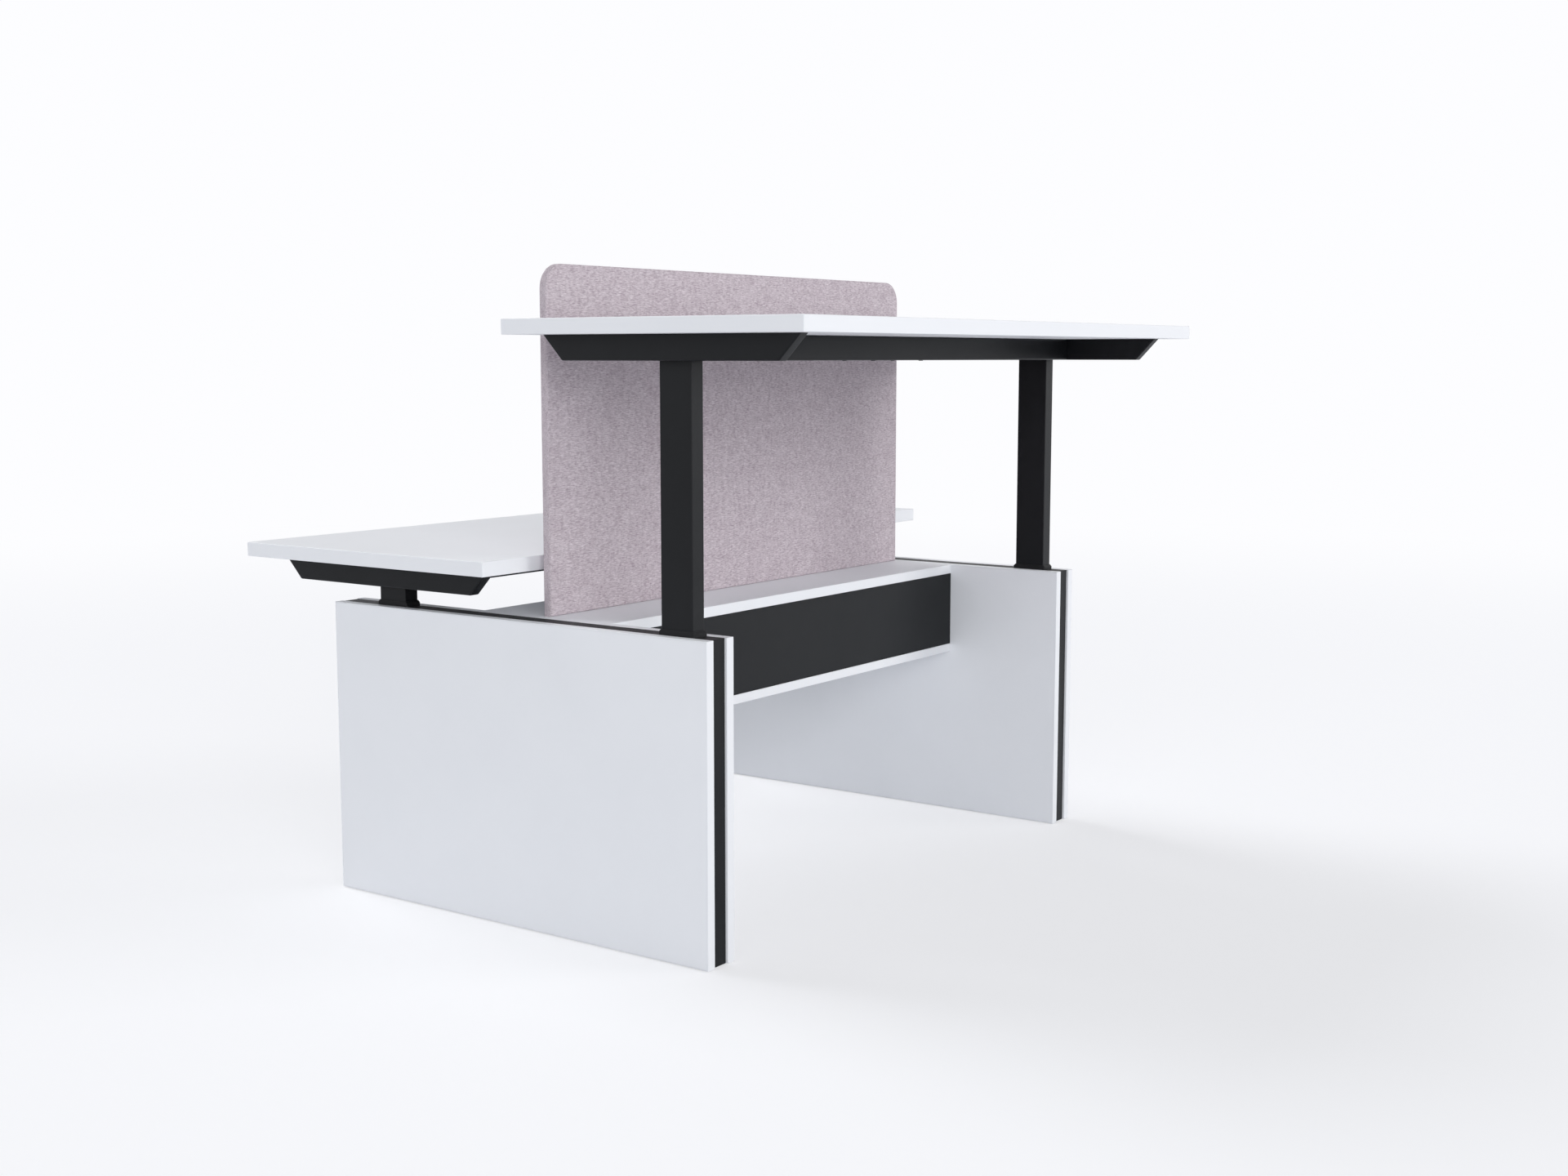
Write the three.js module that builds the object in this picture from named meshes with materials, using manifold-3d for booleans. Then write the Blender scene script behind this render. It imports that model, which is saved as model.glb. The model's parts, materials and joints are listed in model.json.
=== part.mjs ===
// Benching desk for two: two sit-stand desktops on one frame of sandwich end panels, a channel and a screen.
// Millimetres, +Z up. X runs along the desktops, the raised desk is at -Y, and the floor is z = 0.
import * as THREE from "three";
import { mergeVertices } from "three/addons/utils/BufferGeometryUtils.js";
import Module from "manifold-3d";

// Fits
const seat = 0.1; // joint line between pieces that bear on each other
const glide = 0.3; // sliding and running clearance
const wiper = 0.4; // collar to lift tube
const overcut = 1; // how far a cutting tool runs past the face it opens

// Desktops
const deskLength = 1600;
const deskDepth = 700;
const deskThick = 30;
const deskGap = 60; // between the two desktops' inner edges
const deskEdge = 1.5; // edge rounding
const standDrop = 6; // raised desk below its highest position
const sitRise = 26; // lowered desk above its lowest position

// End panels: two sheets with a core between them
const panelHeight = 625; // top of the sheets
const panelLift = 2; // gap under the sheets
const panelInset = 67; // from the desktop's end to the outer sheet
const sheetThick = 21;
const sheetEdge = 1;
const coreGap = 40;
const frontMargin = 88; // from the column line to the sheets' front edge
const rearMargin = 152; // from the column line to the sheets' rear edge
const coreRecess = 5; // core behind the sheets' upright edges
const coreDrop = 2; // core below the sheets' top edges
const uprightDepth = 30;
const uprightWall = 3;
const topRailHeight = 35;
const bottomRailHeight = 30;
const railWeb = 3;
const railFlange = 2;

// Levelling feet
const footRadius = 17;
const footHeight = 7;
const footChamfer = 2;
const stemRadius = 5;
const footClear = 3; // between a foot and the upright beside it
const railClear = 10; // bottom rail above the floor

// Lift columns
const tubeDepth = 75;
const tubeWidth = 35;
const tubeWall = 2;
const tubeRadius = 4;
const tubeFloorGap = 11; // above the bottom rail at the lowest position
const tubeOverlap = 79; // over the mast at the highest position
const mastDepth = 67;
const mastWidth = 27;
const mastWall = 2;
const mastRadius = 4;
const nutHead = 30;
const nutSpigot = 30;
const headDrop = 6; // nut block's top below the collar's top
const collarDepth = 86;
const collarRise = 11; // above the sheets
const collarSlope = 4.5; // height of the sloping shoulder
const collarLip = 1; // collar's width round the tube at the top
const collarRadius = 5;
const closedGap = 5; // between collar and beam at the lowest position
const screwRadius = 6;
const screwTail = 10; // below the nut block at the highest position
const screwSocket = 20;
const screwHole = 8; // radius of the beam's holes for the screws

// Arms and beams
const armHeight = 49;
const armLength = 600;
const armChamfer = 47; // run of the sloping ends
const armWidth = 26.5;
const armProud = 5.5; // outside the outer sheet
const armWall = 3;
const beamDepth = 146;
const beamWall = 3;
const beamLip = 20;

// Drives
const gearboxDepth = 70;
const gearboxHeight = 42;
const gearboxRadius = 6;
const gearboxOutside = 18; // from the screw's axis to the end near the arm
const gearboxInside = 35;
const motorRadius = 20;
const motorLength = 110;
const motorCapRadius = 13;
const motorCapLength = 12;
const controlLength = 220;
const controlDepth = 90;
const controlHeight = 36;
const controlEdge = 3;
const portCount = 4;
const portPitch = 36;
const portWidth = 20;
const portHeight = 12;
const portDepth = 14;

// Handset, under each desktop beside the left arm of the person who sits there
const handsetLength = 70;
const handsetDepth = 70;
const handsetHeight = 20;
const handsetChamfer = 8;
const handsetSetback = 125; // behind the desktop's front edge
const handsetArmGap = 5;
const pocketLength = 46;
const pocketDepth = 22;
const pocketHeight = 14;
const rockerGap = 0.5;
const rockerThick = 6;
const rockerReach = 20; // from the pivot to the tip
const pivotInset = 17; // pivot behind the handset's face
const trunnionRadius = 2;
const trunnionLength = 3;

// Channel between the end panels
const channelDepth = 344;
const channelTop = 22;
const channelPanel = 178;
const channelBase = 20;
const channelWall = 18;
const boardEdge = 1;

// Screen
const screenHeight = 700;
const screenThick = 19;
const screenRadius = 50;
const screenEdge = 3;
const screenEndGap = 1;
const studRadius = 5;
const studReach = 55; // into the screen
const studSpacing = 800;
const supportOverhang = 50;
const supportDepth = 40;
const supportThick = 5;

// Places worked out from the sizes above
const columnY = (deskGap + deskDepth) / 2;
const panelOuter = deskLength / 2 - panelInset;
const panelInner = panelOuter - 2 * sheetThick - coreGap;
const columnX = panelOuter - sheetThick - coreGap / 2;
const armOuter = panelOuter + armProud;
const armInner = armOuter - armWidth;
const coreWidth = coreGap - 2 * seat;
const panelFront = -(columnY + frontMargin);
const panelRear = columnY + rearMargin;
const railFront = panelFront + coreRecess + uprightDepth + seat;
const railRear = panelRear - coreRecess - uprightDepth - seat;
const coreTop = panelHeight - coreDrop;
const collarTop = panelHeight + collarRise;
const bottomRailTop = railClear + bottomRailHeight;
const mastFoot = railClear + railWeb + seat;
const headTop = collarTop - headDrop;
const headBottom = headTop - nutHead;
const mastTop = headBottom - seat;
const tubeFoot = bottomRailTop + tubeFloorGap;
const tubeTopLow = collarTop + closedGap - seat;
const tubeLength = tubeTopLow - tubeFoot;
const travel = headTop - tubeOverlap - tubeFoot;
const lowestHeight = collarTop + closedGap + armHeight + seat + deskThick;
const standHeight = lowestHeight + travel - standDrop;
const sitHeight = lowestHeight + sitRise;
const screwTop = screwSocket + beamWall + seat;
const screwLength = travel + tubeTopLow + seat + screwTop - headBottom + nutSpigot + screwTail;

// Materials
const finish = (color, roughness, metalness) =>
  new THREE.MeshStandardMaterial({ color, roughness, metalness });
const whiteBoard = () => finish(0xe9ebf0, 0.45, 0);
const darkBoard = () => finish(0x2b2c2f, 0.55, 0);
const blackSteel = () => finish(0x232426, 0.5, 0.2);
const blackPlastic = () => finish(0x1b1c1e, 0.6, 0);
const greyPlastic = () => finish(0x4a4c50, 0.55, 0);
const bareSteel = () => finish(0x9a9da1, 0.35, 0.9);
const castAlloy = () => finish(0x5c5f63, 0.5, 0.6);
const felt = () => finish(0xa99fa8, 0.95, 0);

// Solids for cutting and joining
const wasm = await Module();
wasm.setup();

function solidOf(geometry) {
  const bare = geometry.clone();
  bare.deleteAttribute("normal");
  bare.deleteAttribute("uv");
  const merged = mergeVertices(bare);
  return new wasm.Manifold(
    new wasm.Mesh({
      numProp: 3,
      vertProperties: merged.attributes.position.array,
      triVerts: new Uint32Array(merged.index.array),
    }),
  );
}

function geometryOf(solid) {
  const { vertProperties, triVerts } = solid.getMesh();
  const geometry = new THREE.BufferGeometry();
  geometry.setAttribute("position", new THREE.BufferAttribute(vertProperties, 3));
  geometry.setIndex(new THREE.BufferAttribute(triVerts, 1));
  geometry.computeVertexNormals();
  return geometry;
}

const cut = (body, tools) =>
  geometryOf(tools.reduce((left, tool) => left.subtract(solidOf(tool)), solidOf(body)));

const join = (pieces) => geometryOf(pieces.map(solidOf).reduce((all, piece) => all.add(piece)));

// Outlines
const outline = (points) => new THREE.Shape(points.map(([x, y]) => new THREE.Vector2(x, y)));

function roundedRect(width, height, radius) {
  const x = width / 2 - radius;
  const y = height / 2 - radius;
  return new THREE.Shape()
    .absarc(x, y, radius, 0, Math.PI / 2)
    .absarc(-x, y, radius, Math.PI / 2, Math.PI)
    .absarc(-x, -y, radius, Math.PI, Math.PI * 1.5)
    .absarc(x, -y, radius, Math.PI * 1.5, Math.PI * 2);
}

function rect(width, height) {
  const x = width / 2;
  const y = height / 2;
  return outline([[-x, -y], [x, -y], [x, y], [-x, y]]);
}

// Closed outline from its right half, which starts at the bottom.
const mirrored = (half) => [...half, ...half.map(([u, v]) => [-u, v]).reverse()];

// Channel section, web at v = 0 and flanges along v; up is 1 or -1.
function channelSection(width, height, web, flange, up) {
  const w = width / 2;
  const inside = w - flange;
  const half = [[w, 0], [w, height], [inside, height], [inside, web]];
  return outline(mirrored(half).map(([u, v]) => [u, v * up]));
}

// Extrusions, from 0 along Z or centred along X or Y; an edge rounds both ends inside the outline.
function alongZ(shape, length, edge = 0, curveSegments = 5) {
  return new THREE.ExtrudeGeometry(shape, {
    depth: length - 2 * edge,
    curveSegments,
    bevelEnabled: edge > 0,
    bevelThickness: edge,
    bevelSize: edge,
    bevelOffset: -edge,
    bevelSegments: 2,
  }).translate(0, 0, edge);
}

const axisX = new THREE.Vector3(1, 0, 0);
const axisY = new THREE.Vector3(0, 1, 0);
const axisZ = new THREE.Vector3(0, 0, 1);

// The outline's u and v become Y and Z.
function alongX(shape, length, edge = 0, curveSegments = 5) {
  const turn = new THREE.Matrix4().makeBasis(axisY, axisZ, axisX);
  return alongZ(shape, length, edge, curveSegments).translate(0, 0, -length / 2).applyMatrix4(turn);
}

// The outline's u and v become -X and Z.
function alongY(shape, length, edge = 0, curveSegments = 5) {
  const turn = new THREE.Matrix4().makeBasis(axisX.clone().negate(), axisZ, axisY);
  return alongZ(shape, length, edge, curveSegments).translate(0, 0, -length / 2).applyMatrix4(turn);
}

const roundSides = 16;

// Round bar along Z, from z = 0.
function rod(radius, length) {
  return new THREE.CylinderGeometry(radius, radius, length, roundSides)
    .rotateX(Math.PI / 2)
    .translate(0, 0, length / 2);
}

const boxAt = (sizeX, sizeY, sizeZ, x, y, z) => new THREE.BoxGeometry(sizeX, sizeY, sizeZ).translate(x, y, z);

const desk = new THREE.Group();
const base = new THREE.Group();
const ends = [["left", -1], ["right", 1]];
const sides = [["front", -1], ["rear", 1]];

function place(group, name, geometry, material, x, y, z) {
  const mesh = new THREE.Mesh(geometry, material);
  mesh.name = name;
  mesh.position.set(x, y, z);
  group.add(mesh);
}

// End panels
function endSheet() {
  const sheet = rect(panelRear - panelFront, panelHeight - panelLift);
  return alongX(sheet, sheetThick - seat, sheetEdge);
}

function upright(inward) {
  const section = channelSection(coreWidth, uprightDepth, uprightWall, uprightWall, inward);
  return alongZ(section, coreTop - panelLift);
}

function topRail() {
  const section = channelSection(coreWidth, topRailHeight, railWeb, railFlange, -1);
  const middle = (railFront + railRear) / 2;
  const rail = alongY(section, railRear - railFront).translate(0, middle, 0);
  const slotDepth = tubeDepth + 2 * wiper;
  const slotWidth = coreWidth - 2 * railFlange;
  const slot = () => boxAt(slotWidth, slotDepth, railWeb + 2 * overcut, 0, 0, -railWeb / 2);
  const slots = sides.map(([, side]) => slot().translate(0, side * columnY, 0));
  return cut(rail, slots);
}

function bottomRail() {
  const section = channelSection(coreWidth, bottomRailHeight, railWeb, railFlange, 1);
  const middle = (railFront + railRear) / 2;
  const rail = alongY(section, railRear - railFront).translate(0, middle, 0);
  const drill = () => rod(stemRadius + glide, railWeb + 2 * overcut);
  const holes = sides.map(([, side]) => drill().translate(0, footY(side), -overcut));
  return cut(rail, holes);
}

function footY(side) {
  const edge = side < 0 ? railFront : railRear;
  return edge - side * (footRadius + footClear);
}

function levellingFoot() {
  const stemTop = railClear + railWeb;
  const profile = [
    [0, 0],
    [footRadius - footChamfer, 0],
    [footRadius, footChamfer],
    [footRadius, footHeight - footChamfer],
    [footRadius - footChamfer, footHeight],
    [stemRadius, footHeight],
    [stemRadius, stemTop],
    [0, stemTop],
  ];
  const points = profile.map(([r, z]) => new THREE.Vector2(r, z));
  return new THREE.LatheGeometry(points, roundSides).rotateX(Math.PI / 2);
}

for (const [end, way] of ends) {
  const middleY = (panelFront + panelRear) / 2;
  const middleZ = (panelHeight + panelLift) / 2;
  const outerX = way * (panelOuter - sheetThick / 2);
  const innerX = way * (panelInner + sheetThick / 2);
  place(base, `${end}_outer_panel`, endSheet(), whiteBoard(), outerX, middleY, middleZ);
  place(base, `${end}_inner_panel`, endSheet(), whiteBoard(), innerX, middleY, middleZ);
  const coreX = way * columnX;
  place(base, `${end}_front_upright`, upright(1), blackSteel(), coreX, panelFront + coreRecess, panelLift);
  place(base, `${end}_rear_upright`, upright(-1), blackSteel(), coreX, panelRear - coreRecess, panelLift);
  place(base, `${end}_top_rail`, topRail(), blackSteel(), coreX, 0, coreTop);
  place(base, `${end}_bottom_rail`, bottomRail(), blackSteel(), coreX, 0, railClear);
}

// Fixed half of each lift column
function guideMast() {
  const section = roundedRect(mastWidth, mastDepth, mastRadius);
  section.holes.push(roundedRect(mastWidth - 2 * mastWall, mastDepth - 2 * mastWall, mastRadius - mastWall));
  return alongZ(section, mastTop - mastFoot, 0, 3);
}

// Glides inside the lift tube, plugs into the mast and carries the screw's nut.
function nutBlock() {
  const tubeFit = tubeWall + glide;
  const mastFit = mastWall + glide;
  const head = roundedRect(tubeWidth - 2 * tubeFit, tubeDepth - 2 * tubeFit, tubeRadius - tubeFit);
  const spigot = roundedRect(mastWidth - 2 * mastFit, mastDepth - 2 * mastFit, mastRadius - mastFit);
  const body = join([
    alongZ(head, nutHead, 0, 3),
    alongZ(spigot, nutSpigot + overcut, 0, 3).translate(0, 0, -nutSpigot),
  ]);
  const bore = rod(screwRadius + glide, nutHead + nutSpigot + 2 * overcut);
  return cut(body, [bore.translate(0, 0, -nutSpigot - overcut)]);
}

// Wiper collar that stands on the top rail between the sheets, with a sloping shoulder up to the tube.
function collar() {
  const height = collarTop - coreTop - seat;
  const openWidth = tubeWidth + 2 * wiper;
  const openDepth = tubeDepth + 2 * wiper;
  const ring = alongZ(roundedRect(coreWidth, collarDepth, collarRadius), height - collarSlope, 0, 4);
  const shoulder = alongZ(roundedRect(coreWidth, collarDepth, collarRadius), collarSlope, 0, 4);
  const corners = shoulder.attributes.position;
  for (let i = 0; i < corners.count; i++) {
    if (corners.getZ(i) > 0) {
      corners.setX(i, (corners.getX(i) * (openWidth + 2 * collarLip)) / coreWidth);
      corners.setY(i, (corners.getY(i) * (openDepth + 2 * collarLip)) / collarDepth);
    }
  }
  const body = join([ring, shoulder.translate(0, 0, height - collarSlope)]);
  const hole = alongZ(roundedRect(openWidth, openDepth, tubeRadius + wiper), height + 2 * overcut, 0, 4);
  return cut(body, [hole.translate(0, 0, -overcut)]);
}

for (const [end, way] of ends) {
  for (const [row, side] of sides) {
    const x = way * columnX;
    const y = side * columnY;
    place(base, `${row}_${end}_levelling_foot`, levellingFoot(), blackPlastic(), x, footY(side), 0);
    place(base, `${row}_${end}_guide_mast`, guideMast(), bareSteel(), x, y, mastFoot);
    place(base, `${row}_${end}_nut_block`, nutBlock(), greyPlastic(), x, y, headBottom);
    place(base, `${row}_${end}_collar`, collar(), blackPlastic(), x, y, coreTop + seat);
  }
}

// Channel between the end panels, and the screen on it
const channelLength = 2 * (panelInner - seat);
const channelTopZ = panelHeight - channelTop;
const channelBaseZ = channelTopZ - channelPanel - channelBase;
const studs = [-studSpacing / 2, studSpacing / 2];

function channelTopBoard() {
  const board = alongZ(rect(channelLength, channelDepth), channelTop, boardEdge);
  const holes = studs.map((x) => rod(studRadius + glide, channelTop + 2 * overcut).translate(x, 0, -overcut));
  return cut(board, holes);
}

function screenSupport() {
  const bar = alongZ(rect(studSpacing + 2 * supportOverhang, supportDepth), supportThick);
  const reach = channelTop + 2 * seat + studReach;
  const pins = studs.map((x) => rod(studRadius, reach + overcut).translate(x, 0, supportThick - overcut));
  return join([bar, ...pins]);
}

function screenPanel() {
  const half = panelInner - screenEndGap;
  const shape = new THREE.Shape()
    .moveTo(-half, 0)
    .lineTo(half, 0)
    .absarc(half - screenRadius, screenHeight - screenRadius, screenRadius, 0, Math.PI / 2)
    .absarc(-half + screenRadius, screenHeight - screenRadius, screenRadius, Math.PI / 2, Math.PI);
  const panel = alongY(shape, screenThick, screenEdge, 8);
  const socket = () => rod(studRadius + glide, studReach + 2 * overcut);
  const sockets = studs.map((x) => socket().translate(x, 0, -overcut));
  return cut(panel, sockets);
}

place(base, "channel_top", channelTopBoard(), whiteBoard(), 0, 0, channelTopZ);
place(
  base,
  "channel_base",
  alongZ(rect(channelLength, channelDepth), channelBase, boardEdge),
  whiteBoard(),
  0,
  0,
  channelBaseZ,
);
for (const [row, side] of sides) {
  const panel = alongX(rect(channelWall, channelPanel - 2 * seat), channelLength, boardEdge);
  const y = side * (channelDepth - channelWall) / 2;
  place(base, `channel_${row}_panel`, panel, darkBoard(), 0, y, channelTopZ - channelPanel / 2);
}
place(base, "screen_support", screenSupport(), blackSteel(), 0, 0, channelTopZ - seat - supportThick);
place(base, "screen", screenPanel(), felt(), 0, 0, panelHeight + seat);

// Moving desks, each with its origin at the middle of its desktop's top face
const beamTopZ = -deskThick - seat;
const beamZ = beamTopZ - armHeight;
const beamFloorZ = beamZ + beamWall + seat;

// Folded beam with lips under the desktop
function beam() {
  const w = beamDepth / 2;
  const inside = w - beamWall;
  const lip = w - beamLip;
  const underLip = armHeight - beamWall;
  const fold = [[w, 0], [w, armHeight], [lip, armHeight]];
  const half = [...fold, [lip, underLip], [inside, underLip], [inside, beamWall]];
  const channel = alongX(outline(mirrored(half)), 2 * (armInner - seat));
  const drill = () => rod(screwHole, beamWall + 2 * overcut);
  const holes = ends.map(([, way]) => drill().translate(way * columnX, 0, -overcut));
  return cut(channel, holes);
}

// Folded pan, open under the desktop, with sloping ends
function arm() {
  const slope = armChamfer / armHeight;
  const endWall = armWall * Math.hypot(1, slope);
  const trapezium = (low, high, wall) => {
    const reach = (v) => armLength / 2 - armChamfer + slope * v - wall;
    return outline([[-reach(low), low], [reach(low), low], [reach(high), high], [-reach(high), high]]);
  };
  const body = alongX(trapezium(0, armHeight, 0), armWidth);
  const inside = alongX(trapezium(armWall, armHeight + overcut, endWall), armWidth - 2 * armWall);
  return cut(body, [inside]);
}

function liftTube() {
  const section = roundedRect(tubeWidth, tubeDepth, tubeRadius);
  section.holes.push(roundedRect(tubeWidth - 2 * tubeWall, tubeDepth - 2 * tubeWall, tubeRadius - tubeWall));
  return alongZ(section, tubeLength, 0, 4);
}

// Right-angle gearbox over the screw, with its motor lying along the beam
function gearmotor(way) {
  const length = gearboxOutside + gearboxInside;
  const middle = way * (gearboxOutside - gearboxInside) / 2;
  const gearbox = alongZ(roundedRect(length, gearboxDepth, gearboxRadius), gearboxHeight);
  const barrel = (radius, reach) => {
    const from = gearboxInside - overcut;
    return rod(radius, reach - from)
      .rotateY(-way * Math.PI / 2)
      .translate(-way * from, 0, gearboxHeight / 2);
  };
  const motor = barrel(motorRadius, gearboxInside + motorLength);
  const cap = barrel(motorCapRadius, gearboxInside + motorLength + motorCapLength);
  const socket = rod(screwRadius + glide, screwSocket + overcut + glide).translate(0, 0, -overcut);
  return cut(join([gearbox.translate(middle, 0, 0), motor, cap]), [socket]);
}

function controlBox(side) {
  const box = alongZ(rect(controlLength, controlDepth), controlHeight, controlEdge);
  const ports = Array.from({ length: portCount }, (_, i) => {
    const x = (i - (portCount - 1) / 2) * portPitch;
    const y = side * (controlDepth / 2 - portDepth / 2 + overcut);
    return boxAt(portWidth, portDepth + 2 * overcut, portHeight, x, y, controlHeight / 2);
  });
  return cut(box, ports);
}

// Handset housing under the desktop; its pocket opens towards the user.
function handset(side) {
  const face = handsetDepth / 2;
  const low = handsetHeight - handsetChamfer;
  const bevel = face - handsetChamfer;
  const section = [[-face, 0], [face, 0], [face, -low], [bevel, -handsetHeight], [-face, -handsetHeight]];
  const body = alongX(outline(section.map(([u, v]) => [side * u, v])), handsetLength);
  const pocketY = side * (face - pocketDepth / 2 + overcut / 2);
  const pocket = boxAt(pocketLength, pocketDepth + overcut, pocketHeight, 0, pocketY, -handsetHeight / 2);
  const axle = rod(trunnionRadius + glide, pocketLength + 2 * (trunnionLength + glide))
    .rotateY(Math.PI / 2)
    .translate(-pocketLength / 2 - trunnionLength - glide, side * (face - pivotInset), -handsetHeight / 2);
  return cut(body, [pocket, axle]);
}

// Paddle on two trunnions, with its pivot at the origin.
function rocker(side) {
  const half = rockerThick / 2;
  const section = new THREE.Shape()
    .absarc(0, 0, half, Math.PI / 2, Math.PI * 1.5)
    .absarc(rockerReach - half, 0, half, -Math.PI / 2, Math.PI / 2);
  const points = section.getPoints(6).map(({ x, y }) => [side * x, y]);
  const width = pocketLength - 2 * rockerGap;
  const span = pocketLength + 2 * trunnionLength;
  const trunnions = rod(trunnionRadius, span).rotateY(Math.PI / 2).translate(-span / 2, 0, 0);
  return join([alongX(outline(points), width), trunnions]);
}

for (const [row, side] of sides) {
  const group = new THREE.Group();
  group.position.set(0, side * columnY, side < 0 ? standHeight : sitHeight);
  const top = alongZ(rect(deskLength, deskDepth), deskThick, deskEdge);
  place(group, `${row}_desktop`, top, whiteBoard(), 0, 0, -deskThick);
  place(group, `${row}_beam`, beam(), blackSteel(), 0, 0, beamZ);
  place(group, `${row}_control_box`, controlBox(side), blackPlastic(), 0, 0, beamFloorZ);
  for (const [end, way] of ends) {
    const x = way * columnX;
    place(group, `${row}_${end}_arm`, arm(), blackSteel(), way * (armInner + armWidth / 2), 0, beamZ);
    place(group, `${row}_${end}_lift_tube`, liftTube(), blackSteel(), x, 0, beamZ - seat - tubeLength);
    place(group, `${row}_${end}_gearmotor`, gearmotor(way), castAlloy(), x, 0, beamFloorZ);
    const screwZ = beamZ + screwTop - screwLength;
    place(group, `${row}_${end}_lead_screw`, rod(screwRadius, screwLength), bareSteel(), x, 0, screwZ);
  }
  const handsetX = side * (armInner - handsetArmGap - handsetLength / 2);
  const handsetY = side * (deskDepth / 2 - handsetSetback - handsetDepth / 2);
  const pivotY = handsetY + side * (handsetDepth / 2 - pivotInset);
  const pivotZ = beamTopZ - handsetHeight / 2;
  place(group, `${row}_handset`, handset(side), blackPlastic(), handsetX, handsetY, beamTopZ);
  place(group, `${row}_handset_rocker`, rocker(side), greyPlastic(), handsetX, pivotY, pivotZ);
  desk.add(group);
}

desk.add(base);

export default desk;
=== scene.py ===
import json
import math

import bmesh
import bpy
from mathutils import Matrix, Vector


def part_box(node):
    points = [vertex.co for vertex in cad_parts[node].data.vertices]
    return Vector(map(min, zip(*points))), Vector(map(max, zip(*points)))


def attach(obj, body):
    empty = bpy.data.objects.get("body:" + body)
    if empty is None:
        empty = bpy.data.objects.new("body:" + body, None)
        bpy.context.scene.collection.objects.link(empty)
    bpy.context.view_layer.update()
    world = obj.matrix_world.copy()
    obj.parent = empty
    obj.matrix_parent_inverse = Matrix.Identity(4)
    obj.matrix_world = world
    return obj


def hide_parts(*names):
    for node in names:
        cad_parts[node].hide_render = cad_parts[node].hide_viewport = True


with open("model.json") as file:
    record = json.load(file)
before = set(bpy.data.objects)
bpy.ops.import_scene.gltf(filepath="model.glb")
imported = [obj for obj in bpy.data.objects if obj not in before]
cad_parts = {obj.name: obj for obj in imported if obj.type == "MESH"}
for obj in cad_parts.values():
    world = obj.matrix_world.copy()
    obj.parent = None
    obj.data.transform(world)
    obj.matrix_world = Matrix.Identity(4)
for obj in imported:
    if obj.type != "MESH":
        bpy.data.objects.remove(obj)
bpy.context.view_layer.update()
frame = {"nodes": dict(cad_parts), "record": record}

nodes = frame["nodes"]
bodies = frame["record"]["behaviour"]["bodies"]
bodyOf = {node: body for body, members in bodies.items() for node in members}
ends = {"left": -1, "right": 1}
rows = {"front": -1, "rear": 1}
columns = [f"{row}_{end}" for row in rows for end in ends]
print("frame loaded,", len(nodes), "nodes")


# mixes two colours, each given or linked, by a mask
def blendColours(tree, mask, first, second):
    node = tree.nodes.new("ShaderNodeMix")
    node.data_type = "RGBA"
    sockets = [s for s in node.inputs if s.type == "RGBA"]
    for socket, value in zip(sockets, (first, second)):
        if isinstance(value, tuple):
            socket.default_value = (*value, 1)
        else:
            tree.links.new(value, socket)
    tree.links.new(mask, node.inputs["Factor"])
    return next(s for s in node.outputs if s.type == "RGBA")


# camera and light

camera = {
    "place": (-3.437965, -2.562853, 1.1424),
    "yaw": 0.953135,  # from +Y towards +X
    "pitch": -0.121665,
    "lens": 43.427,
    "sensor": 36,
    "clipEnd": 200,
}

light = {
    "world": (0.955, 0.97, 1.0),
    "worldStrength": 0.33,
    "backdrop": (0.98, 0.982, 1.0),
    "lampAngle": 30,
    "lamps": {  # turn from -Y towards +X, rise, strength and colour
        "left": (-75, 16, 0.38, (0.965, 0.98, 1.0)),
        "leftFront": (-35, 16, 0.93, (0.965, 0.98, 1.0)),
        "rightFront": (35, 16, 1.05, (1.0, 0.99, 0.985)),
        "behind": (180, 45, 1.43, (0.97, 0.98, 1.0)),
    },
    "floorSize": 60,
    "floorColour": (0.9, 0.908, 0.935),
    "floorSeen": (0.45, 0.454, 0.468),  # the camera sees less of the shadow
    "floorGlow": 0.553,  # and this much white on top
    "floorFade": (3.4, 9.0),  # where the floor starts and ends melting into the backdrop
}


def setCamera():
    bpy.ops.object.camera_add(
        location=camera["place"],
        rotation=(math.pi / 2 + camera["pitch"], 0, -camera["yaw"]),
    )
    eye = bpy.context.object
    eye.data.sensor_width = camera["sensor"]
    eye.data.sensor_fit = "HORIZONTAL"
    eye.data.lens = camera["lens"]
    eye.data.clip_end = camera["clipEnd"]
    bpy.context.scene.camera = eye
    bpy.context.scene.view_settings.view_transform = "Standard"


def setWorld():
    world = bpy.data.worlds.new("studio")
    bpy.context.scene.world = world
    world.use_nodes = True
    tree = world.node_tree
    tree.nodes.clear()
    out = tree.nodes.new("ShaderNodeOutputWorld")
    mix = tree.nodes.new("ShaderNodeMixShader")
    lit = tree.nodes.new("ShaderNodeBackground")
    lit.inputs["Color"].default_value = (*light["world"], 1)
    lit.inputs["Strength"].default_value = light["worldStrength"]
    seen = tree.nodes.new("ShaderNodeBackground")
    seen.inputs["Color"].default_value = (*light["backdrop"], 1)
    rays = tree.nodes.new("ShaderNodeLightPath")
    glossy = tree.nodes.new("ShaderNodeMath")
    glossy.operation = "MAXIMUM"
    through = tree.nodes.new("ShaderNodeMath")
    through.operation = "MAXIMUM"
    tree.links.new(rays.outputs["Is Camera Ray"], glossy.inputs[0])
    tree.links.new(rays.outputs["Is Glossy Ray"], glossy.inputs[1])
    tree.links.new(glossy.outputs[0], through.inputs[0])
    tree.links.new(rays.outputs["Is Transmission Ray"], through.inputs[1])
    tree.links.new(through.outputs[0], mix.inputs["Fac"])
    tree.links.new(lit.outputs[0], mix.inputs[1])
    tree.links.new(seen.outputs[0], mix.inputs[2])
    tree.links.new(mix.outputs[0], out.inputs["Surface"])


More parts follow.
